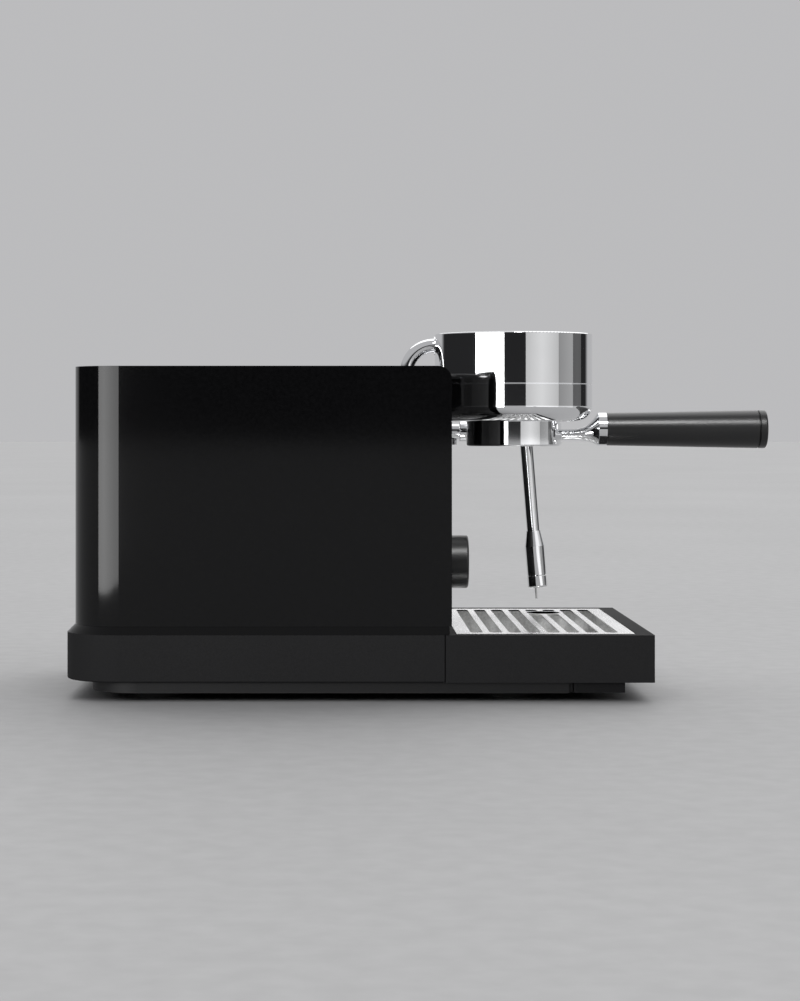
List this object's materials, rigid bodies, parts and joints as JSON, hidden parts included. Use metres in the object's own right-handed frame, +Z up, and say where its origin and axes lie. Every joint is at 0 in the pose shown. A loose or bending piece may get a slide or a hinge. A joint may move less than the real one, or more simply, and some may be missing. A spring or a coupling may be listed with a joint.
{
  "type": "espresso machine",
  "caption": "Compact espresso machine with a bell-shaped chrome group, a bottomless portafilter, a steam wand, a slotted drip tray and a lift-out water tank.",
  "frame": {"origin": "bottom centre of the bounding box, on the counter", "axes": "+X to the machine's front, along the portafilter's handle; +Y to the user's right as the user faces the machine; +Z up"},
  "size_m": [0.5016, 0.25, 0.2552],
  "materials": {
    "gloss_black": "gloss",
    "satin_grey": "satin",
    "plinth_grey": "matt",
    "chrome": "polished",
    "grid_steel": "brushed",
    "pan_steel": "dull",
    "plain_steel": "satin",
    "screw_steel": "bright",
    "matte_black": "fine grain",
    "rubber": "matt",
    "clear_tank": "smoky clear",
    "black_plastic": "satin",
    "hose": "milky",
    "brass": "machined",
    "aluminium": "cast",
    "board_green": "satin"
  },
  "bodies": {
    "machine": {"base_housing": "satin_grey", "base_plinth": "plinth_grey", "plinth_screws": "screw_steel", "rubber_feet": "rubber", "tray_stop": "plinth_grey", "casing_wrap": "gloss_black", "front_fascia": "gloss_black", "chassis_plate": "plain_steel", "group_housing": "chrome", "group_cover": "chrome", "brew_boiler": "brass", "boiler_heater": "plain_steel", "group_gasket": "rubber", "shower_screen": "plain_steel", "screen_screw": "screw_steel", "group_backing_plate": "plain_steel", "group_bolts": "screw_steel", "feed_pipe": "chrome", "pipe_collar": "chrome", "pipe_grommet": "rubber", "wand_stub": "chrome", "wand_lock_screw": "screw_steel", "stub_nut": "screw_steel", "selector_switch": "black_plastic", "tank_seat": "black_plastic", "seat_ring": "rubber", "pump_body": "black_plastic", "pump_saddle": "plain_steel", "pump_mounts": "rubber", "suction_hose": "hose", "pressure_hose": "hose", "brew_valve": "brass", "steam_block": "aluminium", "block_legs": "aluminium", "steam_feed_tube": "plain_steel", "steam_tube": "plain_steel", "control_board": "board_green", "board_spacers": "black_plastic", "mains_inlet": "black_plastic", "inlet_pins": "screw_steel"},
    "portafilter": {"portafilter_body": "chrome", "filter_basket": "plain_steel", "basket_clip": "plain_steel", "handle_grip": "matte_black", "handle_cap": "matte_black", "handle_rod": "plain_steel"},
    "steam_wand": {"wand_nut": "chrome", "wand_tube": "chrome", "wand_sleeve": "chrome", "wand_nozzle": "chrome", "wand_needle": "plain_steel"},
    "selector": {"selector_knob": "matte_black", "knob_shaft": "plain_steel"},
    "tray": {"drip_tray": "satin_grey", "drip_pan": "pan_steel"},
    "grid": {"tray_grid": "grid_steel"},
    "tank": {"water_tank": "clear_tank"},
    "lid": {"tank_lid": "black_plastic"}
  },
  "joints": [
    {"name": "portafilter_twist", "type": "hinge", "parent": "machine", "child": "portafilter", "pos_m": [0.0658, 0, 0.1734], "axis": [0, 0, 1], "range_deg": [-50, 0]},
    {"name": "wand_swing", "type": "hinge", "parent": "machine", "child": "steam_wand", "pos_m": [0.0298, 0.075, 0.184], "axis": [1, 0, 0], "range_deg": [-12, 70]},
    {"name": "selector_turn", "type": "hinge", "parent": "machine", "child": "selector", "pos_m": [0.0026, -0.07, 0.0925], "axis": [1, 0, 0], "range_deg": [-90, 90]},
    {"name": "tray_slide", "type": "slide", "parent": "machine", "child": "tray", "axis": [1, 0, 0], "range_m": [0, 0.15]},
    {"name": "grid_lift", "type": "slide", "parent": "tray", "child": "grid", "axis": [0, 0, 1], "range_m": [0, 0.01]},
    {"name": "tank_lift", "type": "slide", "parent": "machine", "child": "tank", "axis": [0, 0, 1], "range_m": [0, 0.2]},
    {"name": "lid_lift", "type": "slide", "parent": "tank", "child": "lid", "axis": [0, 0, 1], "range_m": [0, 0.06]}
  ]
}
